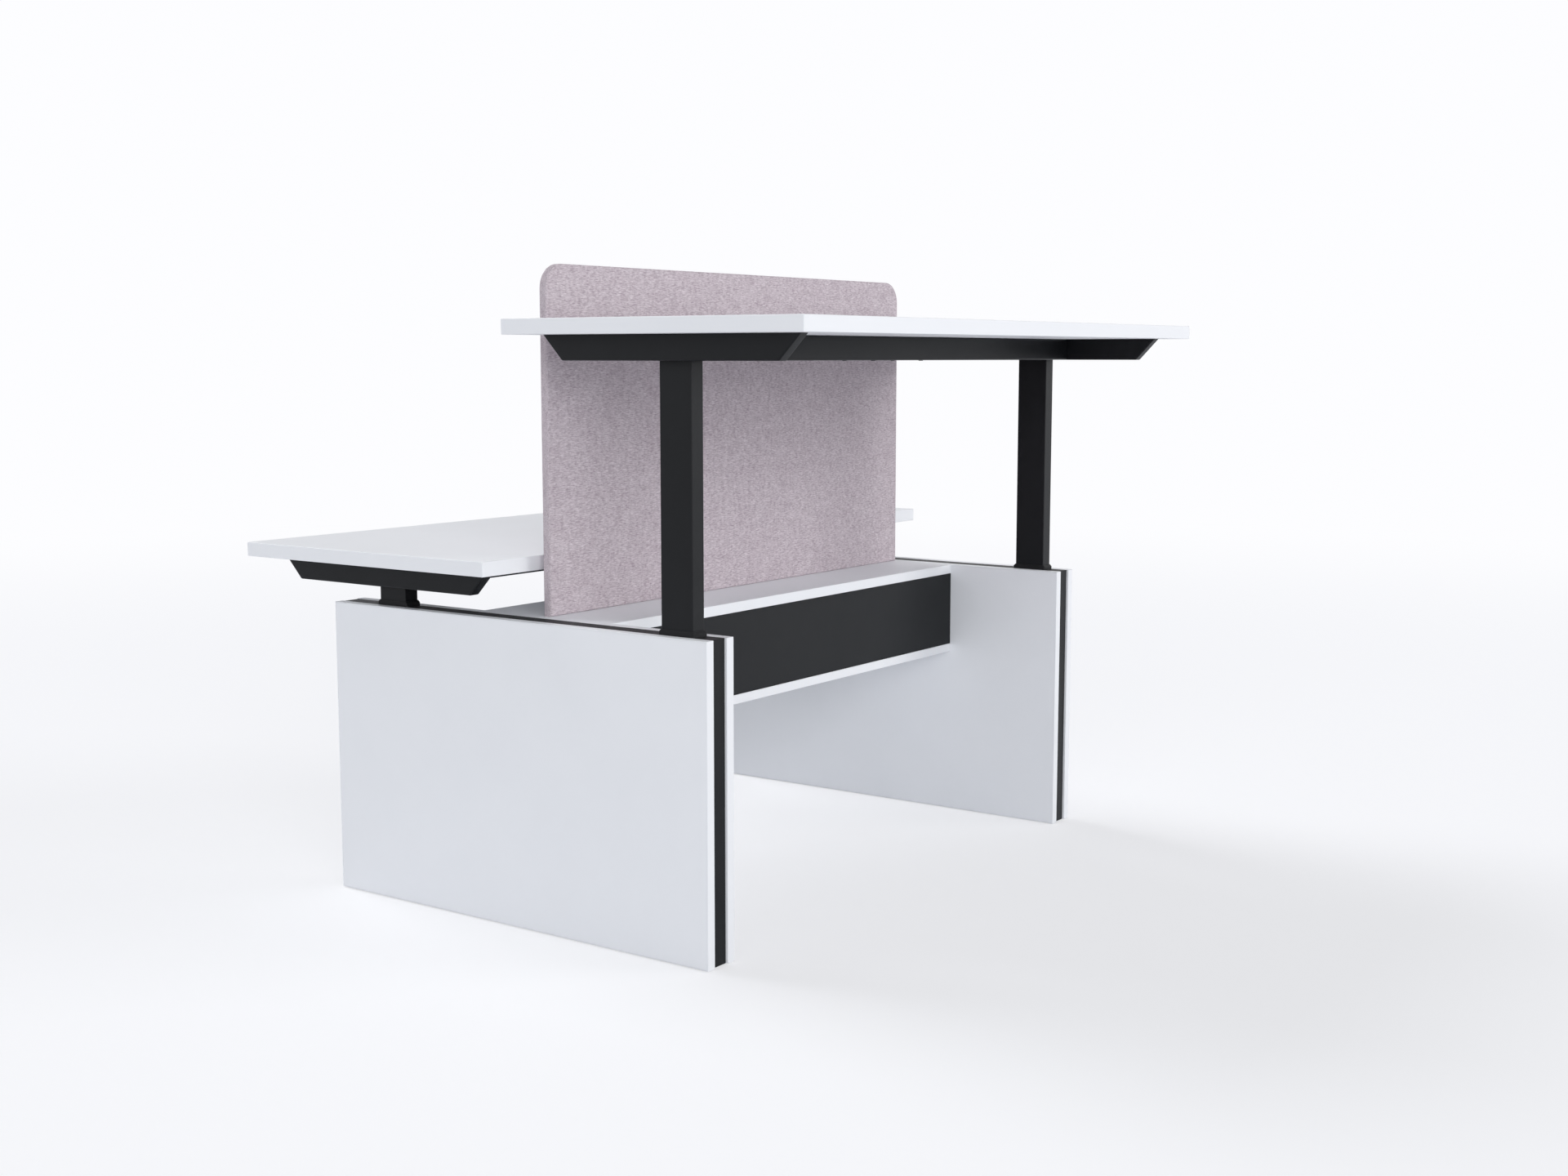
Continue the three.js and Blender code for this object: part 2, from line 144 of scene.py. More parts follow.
def setLamps():
    for name, (turn, rise, strength, colour) in light["lamps"].items():
        bpy.ops.object.light_add(
            type="SUN", rotation=(math.radians(90 - rise), 0, math.radians(turn))
        )
        lamp = bpy.context.object
        lamp.name = name
        lamp.data.angle = math.radians(light["lampAngle"])
        lamp.data.energy = strength
        lamp.data.color = colour


# lit floor with its shadow; only the camera sees the paler tone, the glow and the fade to the backdrop
def setFloor():
    bpy.ops.mesh.primitive_plane_add(size=light["floorSize"])
    floor = bpy.context.object
    floor.name = "floor"
    paint = bpy.data.materials.new("floor")
    paint.use_nodes = True
    tree = paint.node_tree
    shader = tree.nodes["Principled BSDF"]
    shader.inputs["Roughness"].default_value = 1
    shader.inputs["Specular IOR Level"].default_value = 0
    rays = tree.nodes.new("ShaderNodeLightPath")
    tone = blendColours(tree, rays.outputs["Is Camera Ray"], light["floorColour"], light["floorSeen"])
    tree.links.new(tone, shader.inputs["Base Color"])
    glow = tree.nodes.new("ShaderNodeEmission")
    glow.inputs["Color"].default_value = (*light["backdrop"], 1)
    level = tree.nodes.new("ShaderNodeMath")
    level.operation = "MULTIPLY"
    level.inputs[1].default_value = light["floorGlow"]
    tree.links.new(rays.outputs["Is Camera Ray"], level.inputs[0])
    tree.links.new(level.outputs[0], glow.inputs["Strength"])
    lit = tree.nodes.new("ShaderNodeAddShader")
    tree.links.new(shader.outputs[0], lit.inputs[0])
    tree.links.new(glow.outputs[0], lit.inputs[1])
    white = tree.nodes.new("ShaderNodeEmission")
    white.inputs["Color"].default_value = (*light["backdrop"], 1)
    place = tree.nodes.new("ShaderNodeTexCoord")
    distance = tree.nodes.new("ShaderNodeVectorMath")
    distance.operation = "LENGTH"
    tree.links.new(place.outputs["Object"], distance.inputs[0])
    fade = tree.nodes.new("ShaderNodeMapRange")
    fade.interpolation_type = "SMOOTHSTEP"
    fade.inputs["From Min"].default_value, fade.inputs["From Max"].default_value = light["floorFade"]
    tree.links.new(distance.outputs["Value"], fade.inputs["Value"])
    share = tree.nodes.new("ShaderNodeMath")
    share.operation = "MULTIPLY"
    tree.links.new(fade.outputs["Result"], share.inputs[0])
    tree.links.new(rays.outputs["Is Camera Ray"], share.inputs[1])
    mix = tree.nodes.new("ShaderNodeMixShader")
    tree.links.new(share.outputs[0], mix.inputs["Fac"])
    tree.links.new(lit.outputs[0], mix.inputs[1])
    tree.links.new(white.outputs[0], mix.inputs[2])
    tree.links.new(mix.outputs[0], tree.nodes["Material Output"].inputs["Surface"])
    floor.data.materials.append(paint)


bpy.ops.object.select_all(action="DESELECT")
setCamera()
setWorld()
setLamps()
setFloor()
print("camera, light and floor set")


# shared effects, one node group each

def newGroup(name, inputs, outputs):
    group = bpy.data.node_groups.new(name, "ShaderNodeTree")
    for label, value in inputs.items():
        kind = "NodeSocketVector" if isinstance(value, tuple) else "NodeSocketFloat"
        group.interface.new_socket(label, in_out="INPUT", socket_type=kind).default_value = value
    for label in outputs:
        group.interface.new_socket(label, in_out="OUTPUT", socket_type="NodeSocketFloat")
    return group, group.nodes.new("NodeGroupInput"), group.nodes.new("NodeGroupOutput")


def objectPlace(tree):
    return tree.nodes.new("ShaderNodeTexCoord").outputs["Object"]


def remap(tree, source, fromLow, fromHigh, toLow=0, toHigh=1):
    node = tree.nodes.new("ShaderNodeMapRange")
    node.inputs["From Min"].default_value = fromLow
    node.inputs["From Max"].default_value = fromHigh
    node.inputs["To Min"].default_value = toLow
    node.inputs["To Max"].default_value = toHigh
    tree.links.new(source, node.inputs["Value"])
    return node.outputs["Result"]


def combine(tree, operation, first, second):
    node = tree.nodes.new("ShaderNodeMath")
    node.operation = operation
    for socket, value in zip(node.inputs, (first, second)):
        if isinstance(value, (int, float)):
            socket.default_value = value
        else:
            tree.links.new(value, socket)
    return node.outputs[0]


def noise(tree, place, scale, detail=2, roughness=0.5):
    node = tree.nodes.new("ShaderNodeTexNoise")
    node.inputs["Detail"].default_value = detail
    node.inputs["Roughness"].default_value = roughness
    tree.links.new(place, node.inputs["Vector"])
    if isinstance(scale, (int, float)):
        node.inputs["Scale"].default_value = scale
    else:
        tree.links.new(scale, node.inputs["Scale"])
    return node.outputs["Fac"]


def mapped(tree, place, scale=(1, 1, 1), rotation=(0, 0, 0)):
    node = tree.nodes.new("ShaderNodeMapping")
    node.inputs["Rotation"].default_value = rotation
    tree.links.new(place, node.inputs["Vector"])
    if isinstance(scale, tuple):
        node.inputs["Scale"].default_value = scale
    else:
        tree.links.new(scale, node.inputs["Scale"])
    return node.outputs["Vector"]


grain = {"coarse": 0.31, "swell": 0.6, "height": (0.4, 1.2), "shade": (0.3, 0.7)}
mottle = {"detail": 4, "roughness": 0.6, "range": (0.32, 0.68)}
wear = {"samples": 4, "turn": (0.995, 0.85), "breaks": (0.4, 0.65)}
dust = {"upward": (0.7, 1), "detail": 5, "roughness": 0.65, "drift": (0.35, 0.75), "dull": 0.4}


# small even pits, or fine lines where the stretch is uneven
def makeFineGrain():
    group, given, result = newGroup(
        "fineGrain", {"Cells per metre": 900.0, "Stretch": (1.0, 1.0, 1.0)}, ["Height", "Shade"]
    )
    place = mapped(group, objectPlace(group), given.outputs["Stretch"])
    pits = noise(group, place, given.outputs["Cells per metre"], 2, 0.55)
    coarse = combine(group, "MULTIPLY", given.outputs["Cells per metre"], grain["coarse"])
    swell = noise(group, place, coarse, 1)
    both = combine(group, "ADD", pits, combine(group, "MULTIPLY", swell, grain["swell"]))
    group.links.new(remap(group, both, *grain["height"]), result.inputs["Height"])
    group.links.new(remap(group, pits, *grain["shade"]), result.inputs["Shade"])
    return group


# broad uneven patches, from rollers, coating and hands
def makeSlowMottle():
    group, given, result = newGroup("slowMottle", {"Patches per metre": 6.0}, ["Mask"])
    scale = given.outputs["Patches per metre"]
    patches = noise(group, objectPlace(group), scale, mottle["detail"], mottle["roughness"])
    group.links.new(remap(group, patches, *mottle["range"]), result.inputs["Mask"])
    return group


# rubbed edges, found where a rounded normal leaves the true one
def makeEdgeRub():
    group, given, result = newGroup("edgeRub", {"Radius": 0.001, "Breaks per metre": 90.0}, ["Mask"])
    rounded = group.nodes.new("ShaderNodeBevel")
    rounded.samples = wear["samples"]
    group.links.new(given.outputs["Radius"], rounded.inputs["Radius"])
    surface = group.nodes.new("ShaderNodeNewGeometry")
    dot = group.nodes.new("ShaderNodeVectorMath")
    dot.operation = "DOT_PRODUCT"
    group.links.new(rounded.outputs["Normal"], dot.inputs[0])
    group.links.new(surface.outputs["Normal"], dot.inputs[1])
    edge = remap(group, dot.outputs["Value"], *wear["turn"])
    breaks = noise(group, objectPlace(group), given.outputs["Breaks per metre"], 3, 0.6)
    worn = combine(group, "MULTIPLY", edge, remap(group, breaks, *wear["breaks"]))
    group.links.new(worn, result.inputs["Mask"])
    return group


# dust that settles on faces that look up
def makeSettledDust():
    group, given, result = newGroup("settledDust", {"Patches per metre": 14.0}, ["Mask"])
    surface = group.nodes.new("ShaderNodeNewGeometry")
    parts = group.nodes.new("ShaderNodeSeparateXYZ")
    group.links.new(surface.outputs["Normal"], parts.inputs[0])
    upward = remap(group, parts.outputs["Z"], *dust["upward"])
    scale = given.outputs["Patches per metre"]
    drift = noise(group, objectPlace(group), scale, dust["detail"], dust["roughness"])
    dusty = combine(group, "MULTIPLY", upward, remap(group, drift, *dust["drift"]))
    group.links.new(dusty, result.inputs["Mask"])
    return group


fineGrain = makeFineGrain()
slowMottle = makeSlowMottle()
edgeRub = makeEdgeRub()
settledDust = makeSettledDust()


def placeGroup(tree, group, **values):
    node = tree.nodes.new("ShaderNodeGroup")
    node.node_tree = group
    for label, value in values.items():
        node.inputs[label.replace("_", " ")].default_value = value
    return node


def newFinish(name, specular=0.5, metallic=0.0):
    finish = bpy.data.materials.new(name)
    finish.use_nodes = True
    shader = finish.node_tree.nodes["Principled BSDF"]
    shader.inputs["Specular IOR Level"].default_value = specular
    shader.inputs["Metallic"].default_value = metallic
    return finish, finish.node_tree, shader


def raiseBump(tree, shader, height, depth, strength=1.0):
    bump = tree.nodes.new("ShaderNodeBump")
    bump.inputs["Distance"].default_value = depth
    bump.inputs["Strength"].default_value = strength
    tree.links.new(height, bump.inputs["Height"])
    tree.links.new(bump.outputs["Normal"], shader.inputs["Normal"])


# coated, moulded and laminated finishes share one build and differ in their values
def coatedFinish(name, look):
    finish, tree, shader = newFinish(name, look["specular"], look.get("metallic", 0.0))
    stretch = look.get("stretch", (1, 1, 1))
    fine = placeGroup(tree, fineGrain, Cells_per_metre=look["cells"], Stretch=stretch)
    broad = placeGroup(tree, slowMottle, Patches_per_metre=look["patches"])
    rub = placeGroup(tree, edgeRub, Radius=look["rubRadius"])
    settled = placeGroup(tree, settledDust)
    tone = blendColours(tree, broad.outputs["Mask"], look["low"], look["high"])
    speck = combine(tree, "MULTIPLY", fine.outputs["Shade"], look["speck"])
    tone = blendColours(tree, speck, tone, look["speckColour"])
    rubbed = combine(tree, "MULTIPLY", rub.outputs["Mask"], look["rub"])
    tone = blendColours(tree, rubbed, tone, look["rubColour"])
    dusted = combine(tree, "MULTIPLY", settled.outputs["Mask"], look["dust"])
    tone = blendColours(tree, dusted, tone, look["dustColour"])
    tree.links.new(tone, shader.inputs["Base Color"])
    smooth, rough = look["roughness"]
    gloss = remap(tree, broad.outputs["Mask"], 0, 1, smooth, rough)
    dulled = combine(tree, "ADD", gloss, combine(tree, "MULTIPLY", dusted, dust["dull"]))
    tree.links.new(dulled, shader.inputs["Roughness"])
    raiseBump(tree, shader, fine.outputs["Height"], look["bumpDepth"], look["bump"])
    return finish


whiteLook = {
    "low": (0.845, 0.858, 0.886), "high": (0.865, 0.877, 0.903), "speckColour": (0.82, 0.832, 0.86),
    "speck": 0.12, "rub": 0.15, "rubColour": (0.9, 0.905, 0.92), "rubRadius": 0.0008, "dust": 0.05,
    "dustColour": (0.78, 0.77, 0.75), "roughness": (0.42, 0.5), "specular": 0.3, "cells": 1300.0,
    "patches": 5.0, "bumpDepth": 0.00005, "bump": 0.35,
}
bandLook = whiteLook | {
    "low": (0.85, 0.862, 0.888), "high": (0.86, 0.872, 0.898), "roughness": (0.34, 0.42),
    "cells": 700.0, "bump": 0.2,
}
darkLook = {
    "low": (0.0092, 0.0102, 0.0118), "high": (0.0117, 0.0127, 0.0145),
    "speckColour": (0.022, 0.0232, 0.0255), "speck": 0.25, "rub": 0.3,
    "rubColour": (0.06, 0.06, 0.063), "rubRadius": 0.0008, "dust": 0.08,
    "dustColour": (0.16, 0.155, 0.15), "roughness": (0.5, 0.6), "specular": 0.18, "cells": 1300.0,
    "patches": 5.0, "bumpDepth": 0.00006, "bump": 0.4,
}
powderLook = {
    "low": (0.0058, 0.0064, 0.0076), "high": (0.0078, 0.0085, 0.0099),
    "speckColour": (0.018, 0.019, 0.0212), "speck": 0.3, "rub": 0.35,
    "rubColour": (0.07, 0.071, 0.074), "rubRadius": 0.0012, "dust": 0.06,
    "dustColour": (0.2, 0.195, 0.19), "roughness": (0.3, 0.38), "specular": 0.18, "cells": 1500.0,
    "patches": 7.0, "bumpDepth": 0.00016, "bump": 0.55,
}
plasticLook = powderLook | {
    "low": (0.008, 0.0082, 0.009), "high": (0.0105, 0.0107, 0.0115), "rub": 0.2,
    "roughness": (0.5, 0.58), "cells": 900.0, "bumpDepth": 0.00008, "bump": 0.45,
}
greyLook = plasticLook | {
    "low": (0.085, 0.087, 0.094), "high": (0.097, 0.099, 0.106),
    "speckColour": (0.13, 0.132, 0.138), "rubColour": (0.2, 0.2, 0.21),
}
alloyLook = greyLook | {
    "low": (0.24, 0.25, 0.265), "high": (0.28, 0.29, 0.305), "speckColour": (0.34, 0.35, 0.36),
    "rubColour": (0.5, 0.5, 0.5), "roughness": (0.45, 0.58), "specular": 0.5, "cells": 600.0,
    "bumpDepth": 0.0002, "metallic": 0.7,
}
steelLook = alloyLook | {
    "low": (0.52, 0.53, 0.55), "high": (0.58, 0.585, 0.6), "speckColour": (0.68, 0.68, 0.69),
    "roughness": (0.26, 0.36), "cells": 1100.0, "bumpDepth": 0.00005, "metallic": 1.0,
    "stretch": (1.0, 1.0, 0.012),
}

feltLook = {
    "base": (0.525, 0.452, 0.492), "cloud": (0.58, 0.512, 0.548), "pale": (0.82, 0.765, 0.79),
    "dark": (0.225, 0.172, 0.207),
    "fibres": ((18, 0.9), (-41, 0.8), (78, 0.85), (-72, 0.75)),  # lean in degrees, share
    "across": 620.0,  # fibres per metre
    "along": 95.0,
    "clouds": 42.0,
    "streaks": (150.0, 150.0, 70.0),
    "depth": 0.0009,
    "bump": 0.6,
    "cloudRange": (0.34, 0.66),
    "streakRange": (0.46, 0.8, 0, 0.4),
    "paleRange": (0.55, 0.74),
    "paleShare": 0.55,
    "darkRange": (0.45, 0.27),
    "darkShare": 0.62,
    "cloudRise": 0.25,
    "strandRise": 0.5,
    "twist": (0.35, 0.2),  # added about X and Z for each further set of fibres
    "sheen": 0.18,
    "sheenRoughness": 0.6,
    "sheenTint": (0.8, 0.74, 0.79, 1),
}


def feltFinish():
    finish, tree, shader = newFinish("feltMelange", 0.1)
    shader.inputs["Roughness"].default_value = 0.95
    shader.inputs["Sheen Weight"].default_value = feltLook["sheen"]
    shader.inputs["Sheen Roughness"].default_value = feltLook["sheenRoughness"]
    shader.inputs["Sheen Tint"].default_value = feltLook["sheenTint"]
    place = objectPlace(tree)
    cloud = remap(tree, noise(tree, place, feltLook["clouds"], 3, 0.62), *feltLook["cloudRange"])
    streak = noise(tree, mapped(tree, place, feltLook["streaks"]), 1.0, 2, 0.55)
    tone = blendColours(tree, cloud, feltLook["base"], feltLook["cloud"])
    tone = blendColours(tree, remap(tree, streak, *feltLook["streakRange"]), tone, feltLook["dark"])
    height = combine(tree, "MULTIPLY", cloud, feltLook["cloudRise"])
    twistX, twistZ = feltLook["twist"]
    scale = (feltLook["along"], feltLook["across"], feltLook["across"])
    for number, (lean, share) in enumerate(feltLook["fibres"]):
        turn = (twistX * number, math.radians(lean), twistZ * number)
        strand = noise(tree, mapped(tree, place, scale, turn), 1.0, 2, 0.6)
        pale = remap(tree, strand, *feltLook["paleRange"], 0, feltLook["paleShare"] * share)
        dark = remap(tree, strand, *feltLook["darkRange"], 0, feltLook["darkShare"] * share)
        tone = blendColours(tree, pale, tone, feltLook["pale"])
        tone = blendColours(tree, dark, tone, feltLook["dark"])
        rise = combine(tree, "MULTIPLY", strand, feltLook["strandRise"])
        height = combine(tree, "ADD", height, rise)
    tree.links.new(tone, shader.inputs["Base Color"])
    raiseBump(tree, shader, height, feltLook["depth"], feltLook["bump"])
    return finish


whiteBoard = coatedFinish("whiteLaminate", whiteLook)
whiteBand = coatedFinish("whiteEdgeBand", bandLook)
darkBoard = coatedFinish("charcoalLaminate", darkLook)
blackSteel = coatedFinish("blackPowderCoat", powderLook)
blackPlastic = coatedFinish("blackMoulding", plasticLook)
greyPlastic = coatedFinish("greyMoulding", greyLook)
castAlloy = coatedFinish("castAlloy", alloyLook)
drawnSteel = coatedFinish("drawnSteel", steelLook)
felt = feltFinish()
finishes = {
    "white_board": whiteBoard,
    "dark_board": darkBoard,
    "black_steel": blackSteel,
    "black_plastic": blackPlastic,
    "grey_plastic": greyPlastic,
    "bare_steel": drawnSteel,
    "cast_alloy": castAlloy,
    "felt": felt,
}
print("finishes made")


# CAD nodes that stay get the finish of their slot
for entry in frame["record"]["subparts"]:
    shown = nodes[entry["node"]]
    shown.data.materials.clear()
    shown.data.materials.append(finishes[entry["material_slot"]])


# modelling by hand

touching = 1e-5
aligned = 0.99
smoothAngle = 40


def clearSelection():
    bpy.ops.object.select_all(action="DESELECT")


def makeActive(piece):
    clearSelection()
    piece.select_set(True)
    bpy.context.view_layer.objects.active = piece


def applyPlace(name):
    bpy.ops.object.transform_apply(location=True, rotation=True, scale=True)
    piece = bpy.context.object
    piece.name = name
    piece.data.name = name
    return piece


def boxMiddle(node):
    low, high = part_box(node)
    return (low + high) / 2


def startBox(name, low, high):
    clearSelection()
    low, high = Vector(low), Vector(high)
    bpy.ops.mesh.primitive_cube_add(size=1, location=(low + high) / 2, scale=high - low)
    return applyPlace(name)


def startRound(name, radius, height, place, sides=32):
    clearSelection()
    bpy.ops.mesh.primitive_cylinder_add(vertices=sides, radius=radius, depth=height, location=place)
    return applyPlace(name)


def openMesh(piece):
    makeActive(piece)
    bpy.ops.object.mode_set(mode="EDIT")


def closeMesh():
    bpy.ops.object.mode_set(mode="OBJECT")


# faces by centre and normal
def pickFaces(test):
    bpy.ops.mesh.select_mode(type="FACE")
    bpy.ops.mesh.select_all(action="DESELECT")
    mesh = bmesh.from_edit_mesh(bpy.context.object.data)
    mesh.normal_update()
    for face in [f for f in mesh.faces if test(f.calc_center_median(), f.normal)]:
        face.select_set(True)
    bmesh.update_edit_mesh(bpy.context.object.data)


# edges by middle and direction
def pickEdges(test):
    bpy.ops.mesh.select_mode(type="EDGE")
    bpy.ops.mesh.select_all(action="DESELECT")
    mesh = bmesh.from_edit_mesh(bpy.context.object.data)
    for edge in mesh.edges:
        start, end = (v.co for v in edge.verts)
        if test((start + end) / 2, (end - start).normalized()):
            edge.select_set(True)
    bmesh.update_edit_mesh(bpy.context.object.data)


def facing(axis, way=0):
    if way:
        return lambda centre, normal: normal[axis] * way > aligned
    return lambda centre, normal: abs(normal[axis]) > aligned


def running(axis):
    return lambda middle, direction: abs(direction[axis]) > aligned


def roundEdges(radius, steps=4):
    bpy.ops.mesh.bevel(offset=radius, segments=steps, profile=0.5, affect="EDGES")


def useModifier(piece, kind, **values):
    makeActive(piece)
    modifier = piece.modifiers.new(kind.lower(), kind)
    for key, value in values.items():
        setattr(modifier, key, value)
    bpy.ops.object.modifier_apply(modifier=modifier.name)


def cutWith(piece, tool):
    useModifier(piece, "BOOLEAN", operation="DIFFERENCE", object=tool, solver="EXACT")
    bpy.data.objects.remove(tool)


def softenEdges(piece, radius, steps=2, angle=50):
    useModifier(
        piece, "BEVEL", width=radius, segments=steps, limit_method="ANGLE", angle_limit=math.radians(angle),
        use_clamp_overlap=True,
    )


def finishPiece(piece, body, slot, finish, *replaced):
    makeActive(piece)
    bpy.ops.object.shade_smooth_by_angle(angle=math.radians(smoothAngle))
    useModifier(piece, "WEIGHTED_NORMAL", mode="FACE_AREA", weight=100, keep_sharp=True)
    piece.data.materials.clear()
    piece.data.materials.append(finish)
    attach(piece, body)
    if replaced:
        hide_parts(*replaced)
    return piece


# a copy with its own mesh, turned on the spot and moved from one node to another
def copyPiece(model, name, first, node, turn=0):
    makeActive(model)
    bpy.ops.object.duplicate(linked=False)
    start = boxMiddle(first)
    if turn:
        bpy.ops.transform.rotate(value=turn, orient_axis="Z", center_override=start)
    bpy.ops.transform.translate(value=boxMiddle(node) - start)
    return applyPlace(name)


# models the first node's piece and copies it to every node; rear copies may have to face the other way
def repeatPiece(shape, ending, names, slot, finish, replaced=True, facesOut=False):
    model = shape(names[0])
    for node in names:
        turn = math.pi if facesOut and "rear" in node else 0
        piece = copyPiece(model, node + ending, names[0], node, turn)
        finishPiece(piece, bodyOf[node], slot, finish, *([node] if replaced else []))
    bpy.data.objects.remove(model)


# boards, each a laminated core with an edge band round it

boards = {
    "band": 0.002,
    "joint": 0.0002,  # fine groove between face and band
    "deskRound": 0.0015,
    "sheetRound": 0.001,
}


def boardFace(node, thin):
    low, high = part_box(node)
    inset = Vector([0 if axis == thin else boards["band"] + boards["joint"] for axis in range(3)])
    face = startBox("board_face", low + inset, high - inset)
    openMesh(face)
    pickEdges(lambda middle, way: abs(way[thin]) < 1 - aligned)
    roundEdges(boards["joint"], 1)
    closeMesh()
    return face


def boardBand(node, thin, edgeRound):
    low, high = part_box(node)
    band = startBox("board_band", low, high)
    openMesh(band)
    pickFaces(facing(thin))
    bpy.ops.mesh.inset(thickness=boards["band"], depth=0)
    bpy.ops.mesh.bridge_edge_loops()

    def outer(middle, way):
        reach = [min(middle[a] - low[a], high[a] - middle[a]) < touching for a in range(3)]
        return sum(reach) >= 2

    pickEdges(outer)
    roundEdges(edgeRound, 3)
    closeMesh()
    return band


def laminateBoards(names, thin, edgeRound, slot, faceFinish, bandFinish):
    repeatPiece(lambda node: boardFace(node, thin), "_face", names, slot, faceFinish)
    repeatPiece(
        lambda node: boardBand(node, thin, edgeRound), "_edge_band", names, slot, bandFinish, replaced=False
    )


white = ("white_board", whiteBoard, whiteBand)
dark = ("dark_board", darkBoard, darkBoard)
sheets = [f"{end}_{sheet}_panel" for end in ends for sheet in ("outer", "inner")]
laminateBoards([f"{row}_desktop" for row in rows], 2, boards["deskRound"], *white)
laminateBoards(sheets, 0, boards["sheetRound"], *white)
laminateBoards(["channel_top"], 2, boards["sheetRound"], *white)
laminateBoards(["channel_base"], 2, boards["sheetRound"], *white)
laminateBoards([f"channel_{row}_panel" for row in rows], 1, boards["sheetRound"], *dark)
print("boards made")


# felt screen

screen = {
    "corner": 0.05,
    "edge": 0.0045,
    "edgeSteps": 6,
    "cornerSteps": 18,
}


def feltScreen():
    low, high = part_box("screen")
    panel = startBox("felt_screen", low, high)
    openMesh(panel)
    pickEdges(lambda middle, direction: abs(direction.y) > aligned and middle.z > (low.z + high.z) / 2)
    roundEdges(screen["corner"], screen["cornerSteps"])
    pickEdges(lambda middle, direction: min(middle.y - low.y, high.y - middle.y) < touching)
    roundEdges(screen["edge"], screen["edgeSteps"])
    closeMesh()
    finishPiece(panel, "base", "felt", felt, "screen")


feltScreen()
print("screen made")


# lift tubes, arms, beams and uprights, all of folded or drawn sheet

sheetMetal = {
    "tubeWall": 0.002,
    "tubeRadius": 0.0018,
    "fold": 0.0035,
    "burr": 0.0004,  # broken edge of the cut sheet
    "armWall": 0.003,
    "armSlope": 0.047,
    "beamWall": 0.003,
    "beamLip": 0.02,
    "uprightWall": 0.003,
    "uprightFold": 0.0012,
}


def liftTube(node):
    tube = startBox("lift_tube", *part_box(node))
    openMesh(tube)
    pickEdges(running(2))
    roundEdges(sheetMetal["tubeRadius"], 6)
    pickFaces(facing(2))
    bpy.ops.mesh.inset(thickness=sheetMetal["tubeWall"], depth=0)
    bpy.ops.mesh.bridge_edge_loops()
    closeMesh()
    return tube


def foldSheet(piece, wall):
    openMesh(piece)
    bpy.ops.mesh.select_all(action="SELECT")
    bpy.ops.mesh.normals_make_consistent(inside=False)
    closeMesh()
    useModifier(piece, "SOLIDIFY", thickness=wall, offset=-1, use_even_offset=True)
    softenEdges(piece, sheetMetal["burr"], 1, 60)


def foldedArm(node):
    low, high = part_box(node)
    arm = startBox("folded_arm", low, high)
    length = high.y - low.y
    openMesh(arm)
    pickFaces(facing(2, -1))
    short = 1 - 2 * sheetMetal["armSlope"] / length
    middle = boxMiddle(node)
    bpy.ops.transform.resize(value=(1, short, 1), center_override=(middle.x, middle.y, low.z))
    pickFaces(facing(2, 1))
    bpy.ops.mesh.delete(type="FACE")
    pickEdges(lambda place, way: place.z < high.z - touching)
    roundEdges(sheetMetal["fold"], 4)
    closeMesh()
    foldSheet(arm, sheetMetal["armWall"])
    return arm


def foldedBeam(node):
    low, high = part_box(node)
    beam = startBox("folded_beam", low, high)
    openMesh(beam)
    pickFaces(lambda centre, normal: normal.z > aligned or abs(normal.x) > aligned)
    bpy.ops.mesh.delete(type="FACE")
    for edgeY, inward in ((low.y, 1), (high.y, -1)):
        pickEdges(lambda place, way: place.z > high.z - touching and abs(place.y - edgeY) < touching)
        bpy.ops.mesh.extrude_edges_move(
            TRANSFORM_OT_translate={"value": (0, inward * sheetMetal["beamLip"], 0)}
        )
    pickEdges(lambda place, way: abs(way.x) > aligned and min(place.y - low.y, high.y - place.y) < touching)
    roundEdges(sheetMetal["fold"], 4)
    closeMesh()
    foldSheet(beam, sheetMetal["beamWall"])
    return beam


# front upright, with its web to the front
def edgeUpright(node):
    low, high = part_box(node)
    upright = startBox("edge_upright", low, high)
    openMesh(upright)
    pickFaces(lambda centre, normal: abs(normal.z) > aligned or normal.y > aligned)
    bpy.ops.mesh.delete(type="FACE")
    pickEdges(lambda place, way: abs(way.z) > aligned and place.y < low.y + touching)
    roundEdges(sheetMetal["uprightFold"], 3)
    closeMesh()
    foldSheet(upright, sheetMetal["uprightWall"])
    return upright


uprights = [f"{end}_{row}_upright" for row in rows for end in ends]
repeatPiece(foldedBeam, "_folded", [f"{row}_beam" for row in rows], "black_steel", blackSteel)
repeatPiece(liftTube, "_drawn", [f"{column}_lift_tube" for column in columns], "black_steel", blackSteel)
repeatPiece(foldedArm, "_folded", [f"{column}_arm" for column in columns], "black_steel", blackSteel)
repeatPiece(edgeUpright, "_folded", uprights, "black_steel", blackSteel, facesOut=True)
print("steelwork made")


# collars, wiped round the tubes

collars = {
    "corner": 0.003,
    "slope": 0.0045,
    "lip": 0.001,
    "clear": 0.0004,
    "mouth": 0.001,  # how near the middle the ends' faces lie
}


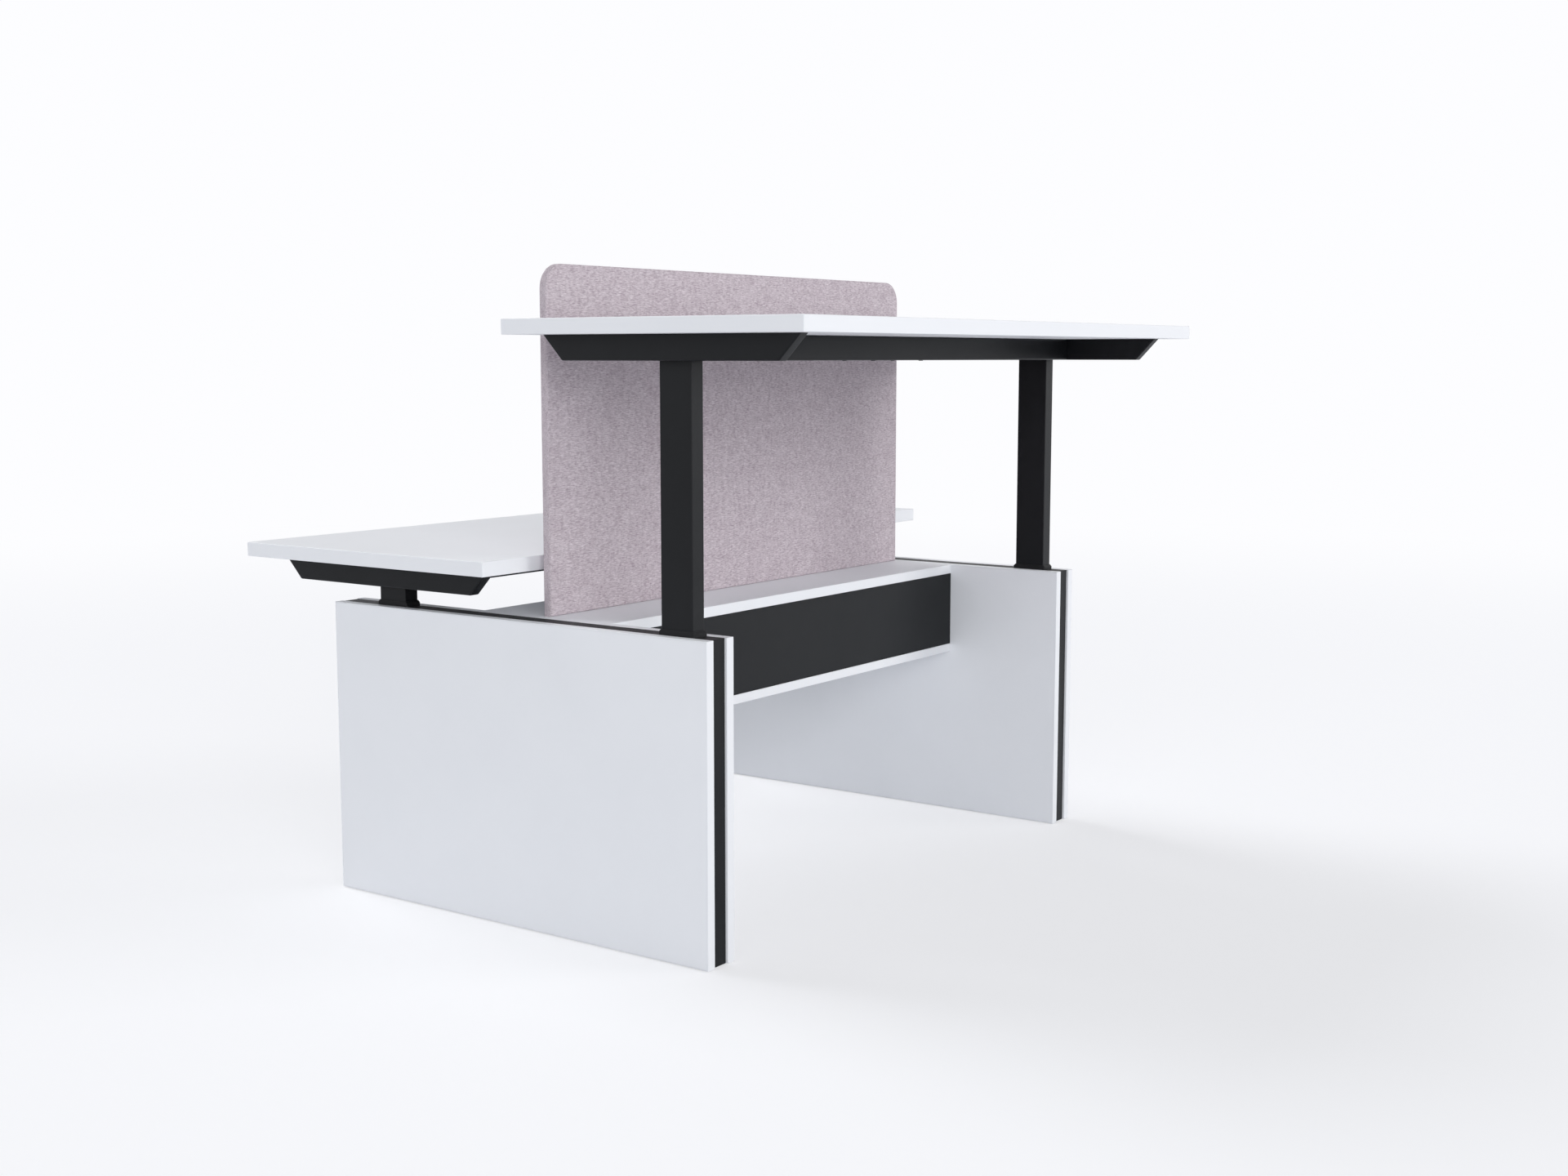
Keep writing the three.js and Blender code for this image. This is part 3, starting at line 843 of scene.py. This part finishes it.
def wiperCollar(node):
    low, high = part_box(node)
    tubeLow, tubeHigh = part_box(node.replace("collar", "lift_tube"))
    size = high - low
    tube = tubeHigh - tubeLow
    middle = boxMiddle(node)
    ring = startBox("wiper_collar", low, (high.x, high.y, high.z - collars["slope"]))

    def narrow(fromX, fromY, grown, z):
        toX = tube.x + 2 * grown
        toY = tube.y + 2 * grown
        bpy.ops.transform.resize(
            value=(toX / fromX, toY / fromY, 1), center_override=(middle.x, middle.y, z)
        )
        return toX, toY

    openMesh(ring)
    pickEdges(running(2))
    roundEdges(collars["corner"], 5)
    pickFaces(facing(2, 1))
    bpy.ops.mesh.extrude_region_move(TRANSFORM_OT_translate={"value": (0, 0, collars["slope"])})
    shoulder = narrow(size.x, size.y, collars["clear"] + collars["lip"], high.z)
    bpy.ops.mesh.extrude_region_move()
    narrow(*shoulder, collars["clear"], high.z)
    pickFaces(facing(2, -1))
    bpy.ops.mesh.extrude_region_move()
    narrow(size.x, size.y, collars["clear"], low.z)

    def mouth(centre, normal):
        return abs(normal.z) > aligned and (centre.xy - middle.xy).length < collars["mouth"]

    pickFaces(mouth)
    bpy.ops.mesh.bridge_edge_loops()
    closeMesh()
    return ring


collarNodes = [f"{column}_collar" for column in columns]
repeatPiece(wiperCollar, "_moulded", collarNodes, "black_plastic", blackPlastic)
print("collars made")


# cover strips on the cores, between the sheets and beside the collars

strips = {"thick": 0.0016, "clear": 0.0003, "edge": 0.0004}


def coverStrip(front, rear):
    low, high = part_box("left_top_rail")
    top = high.z + strips["thick"]
    strip = startBox("cover_strip", (low.x, front, high.z), (high.x, rear, top))
    openMesh(strip)
    pickEdges(lambda middle, way: middle.z > top - touching)
    roundEdges(strips["edge"], 2)
    closeMesh()
    return strip


def putStrips(part, front, rear):
    model = coverStrip(front, rear)
    for end in ends:
        strip = copyPiece(model, f"{end}_{part}_cover_strip", "left_top_rail", f"{end}_top_rail")
        finishPiece(strip, "base", "black_plastic", blackPlastic)
    bpy.data.objects.remove(model)


clear = strips["clear"]
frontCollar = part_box("front_left_collar")
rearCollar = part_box("rear_left_collar")
putStrips("front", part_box("left_front_upright")[0].y, frontCollar[0].y - clear)
putStrips("middle", frontCollar[1].y + clear, rearCollar[0].y - clear)
putStrips("rear", rearCollar[1].y + clear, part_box("left_rear_upright")[1].y)
print("cover strips made")


# low-head screws from below, which hold gearboxes, control boxes and handsets

screws = {
    "radius": 0.0048,
    "height": 0.0012,
    "crown": 0.0009,
    "socket": 0.0018,
    "socketDepth": 0.0008,
    "gearbox": (0.027, 0.024),  # inwards from the column's middle, and to each side
    "controlBox": (0.095, 0.036),
    "handset": (0.024, 0.02),
}


def screwHead():
    head = startRound("screw_head", screws["radius"], screws["height"], (0, 0, -screws["height"] / 2))
    openMesh(head)
    pickEdges(lambda middle, way: middle.z < -screws["height"] + touching)
    roundEdges(screws["crown"], 4)
    closeMesh()
    depth = screws["socketDepth"]
    tool = startRound("hex_key", screws["socket"], 2 * depth, (0, 0, -screws["height"]), 6)
    cutWith(head, tool)
    return head


def putScrews(head, name, body, places):
    copies = []
    for place in places:
        makeActive(head)
        bpy.ops.object.duplicate(linked=False)
        bpy.ops.transform.translate(value=place)
        copies.append(applyPlace(name))
    clearSelection()
    for copy in copies:
        copy.select_set(True)
    bpy.context.view_layer.objects.active = copies[0]
    bpy.ops.object.join()
    finishPiece(bpy.context.object, body, "black_steel", blackSteel)


def bottomMiddle(node):
    low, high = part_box(node)
    return Vector(((low.x + high.x) / 2, (low.y + high.y) / 2, low.z))


def around(middle, reachX, reachY):
    return [middle + Vector((x * reachX, y * reachY, 0)) for x in (-1, 1) for y in (-1, 1)]


def rowScrews(head, row, side):
    under = bottomMiddle(f"{row}_beam")
    inwards, aside = screws["gearbox"]
    places = around(under, *screws["controlBox"])
    for end, way in ends.items():
        column = bottomMiddle(f"{row}_{end}_lift_tube")
        column.z = under.z
        places += [column + Vector((-way * inwards, y * aside, 0)) for y in (-1, 1)]
    putScrews(head, f"{row}_beam_screws", f"{row}_desk", places)
    handset = bottomMiddle(f"{row}_handset")
    reach, back = screws["handset"]
    places = [handset + Vector((x * reach, -side * back, 0)) for x in (-1, 1)]
    putScrews(head, f"{row}_handset_screws", f"{row}_desk", places)


head = screwHead()
for row, side in rows.items():
    rowScrews(head, row, side)
bpy.data.objects.remove(head)
print("screws made")


# handsets with their rockers, the front one facing the front

handsets = {
    "chamfer": 0.008,
    "edge": 0.0012,
    "pocket": (0.046, 0.022, 0.014),
    "arrow": 0.0032,
    "arrowProud": 0.0004,
    "rockerThick": 0.006,
    "rockerWidth": 0.045,
    "rockerReach": 0.02,
    "trunnion": 0.002,
    "rockerRound": 0.96,  # share of half the thickness
    "rockerEdge": 0.0006,
    "pinEdge": 0.0003,
    "grips": 3,
    "gripPitch": 0.0016,
    "gripStart": 0.8,  # times the thickness, behind the tip
    "gripWidth": 0.8,  # share of the width
}


def handsetHousing(node):
    low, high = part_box(node)
    middle = boxMiddle(node)
    housing = startBox("handset_housing", low, high)
    openMesh(housing)
    pickEdges(
        lambda place, way: abs(way.x) > aligned and place.y < low.y + touching and place.z < middle.z
    )
    roundEdges(handsets["chamfer"], 1)
    closeMesh()
    softenEdges(housing, handsets["edge"], 3, 30)
    sizeX, sizeY, sizeZ = handsets["pocket"]
    pocketLow = Vector((middle.x - sizeX / 2, low.y - sizeY, middle.z - sizeZ / 2))
    pocketHigh = pocketLow + Vector((sizeX, 2 * sizeY, sizeZ))
    tool = startBox("pocket", pocketLow, pocketHigh)
    openMesh(tool)
    pickEdges(running(1))
    roundEdges(handsets["edge"], 3)
    closeMesh()
    cutWith(housing, tool)
    return housing


def handsetArrow(node, up):
    low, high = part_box(node)
    middle = boxMiddle(node)
    aside = (handsets["pocket"][0] + high.x - low.x) / 4
    clearSelection()
    bpy.ops.mesh.primitive_cylinder_add(
        vertices=3, radius=handsets["arrow"], depth=2 * handsets["arrowProud"],
        location=(middle.x - up * aside, low.y, middle.z + handsets["chamfer"] / 2),
        rotation=(up * math.pi / 2, 0, 0),
    )
    arrow = applyPlace("handset_arrow")
    softenEdges(arrow, handsets["arrowProud"] / 2, 2, 50)
    return arrow


# paddle with finger ribs at its tip, on two trunnions
def handsetRocker(node):
    low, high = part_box(node)
    middle = boxMiddle(node)
    width, thick = handsets["rockerWidth"], handsets["rockerThick"]
    paddle = startBox(
        "handset_paddle", (middle.x - width / 2, low.y, low.z), (middle.x + width / 2, high.y, high.z)
    )
    openMesh(paddle)
    pickEdges(running(0))
    roundEdges(thick / 2 * handsets["rockerRound"], 6)
    closeMesh()
    softenEdges(paddle, handsets["rockerEdge"], 2, 60)
    pitch = handsets["gripPitch"]
    half = Vector((width / 2 * handsets["gripWidth"], pitch / 2, pitch / 3))
    for rib in range(handsets["grips"]):
        y = low.y + thick * handsets["gripStart"] + rib * 2 * pitch
        for face in (low.z, high.z):
            centre = Vector((middle.x, y, face))
            tool = startBox("groove", centre - half, centre + half)
            cutWith(paddle, tool)
    clearSelection()
    bpy.ops.mesh.primitive_cylinder_add(
        vertices=24, radius=handsets["trunnion"], depth=high.x - low.x,
        location=(middle.x, low.y + handsets["rockerReach"], middle.z), rotation=(0, math.pi / 2, 0),
    )
    pin = applyPlace("trunnions")
    softenEdges(pin, handsets["pinEdge"], 2, 60)
    useModifier(paddle, "BOOLEAN", operation="UNION", object=pin, solver="EXACT")
    bpy.data.objects.remove(pin)
    return paddle


housings = [f"{row}_handset" for row in rows]
rockers = [f"{row}_handset_rocker" for row in rows]
repeatPiece(handsetHousing, "_moulded", housings, "black_plastic", blackPlastic, facesOut=True)
for name, up in (("up", 1), ("down", -1)):
    repeatPiece(
        lambda node: handsetArrow(node, up), f"_{name}_arrow", housings, "grey_plastic", greyPlastic,
        replaced=False, facesOut=True,
    )
repeatPiece(handsetRocker, "_moulded", rockers, "grey_plastic", greyPlastic, facesOut=True)
print("handsets made")


# lead screws, four starts of thread on a drawn bar

thread = {
    "lead": 0.02,
    "starts": 4,
    "sides": 32,
    "root": 0.0047,
    "stepsPerTurn": 20,
}


def leadScrew(node):
    low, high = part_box(node)
    middle = boxMiddle(node)
    crest = (high.x - low.x) / 2
    turns = int((high.z - low.z) / thread["lead"])
    clearSelection()
    bpy.ops.mesh.primitive_circle_add(
        vertices=thread["sides"], radius=crest, location=(middle.x, middle.y, low.z)
    )
    screw = bpy.context.object
    openMesh(screw)
    bpy.ops.mesh.select_mode(type="VERT")
    bpy.ops.mesh.select_all(action="DESELECT")
    mesh = bmesh.from_edit_mesh(screw.data)
    perStart = thread["sides"] // thread["starts"]
    for number, corner in enumerate(mesh.verts):
        corner.select_set(number % perStart >= perStart // 2)
    bmesh.update_edit_mesh(screw.data)
    shrink = thread["root"] / crest
    bpy.ops.transform.resize(value=(shrink, shrink, 1), center_override=(middle.x, middle.y, low.z))
    closeMesh()
    useModifier(
        screw, "SCREW", axis="Z", angle=2 * math.pi, screw_offset=thread["lead"], iterations=turns,
        steps=thread["stepsPerTurn"], render_steps=thread["stepsPerTurn"], use_merge_vertices=True,
        use_normal_calculate=True,
    )
    screw = applyPlace("lead_screw")
    openMesh(screw)
    pickEdges(lambda place, way: place.z < low.z + touching)
    bpy.ops.mesh.edge_face_add()
    threadTop = low.z + turns * thread["lead"]
    pickEdges(lambda place, way: abs(place.z - threadTop) < touching)
    bpy.ops.mesh.edge_face_add()
    bpy.ops.mesh.extrude_region_move(TRANSFORM_OT_translate={"value": (0, 0, high.z - threadTop)})
    bpy.ops.mesh.select_all(action="SELECT")
    bpy.ops.mesh.normals_make_consistent(inside=False)
    closeMesh()
    return screw


screwNodes = [f"{column}_lead_screw" for column in columns]
repeatPiece(leadScrew, "_threaded", screwNodes, "bare_steel", drawnSteel)
print("lead screws made")
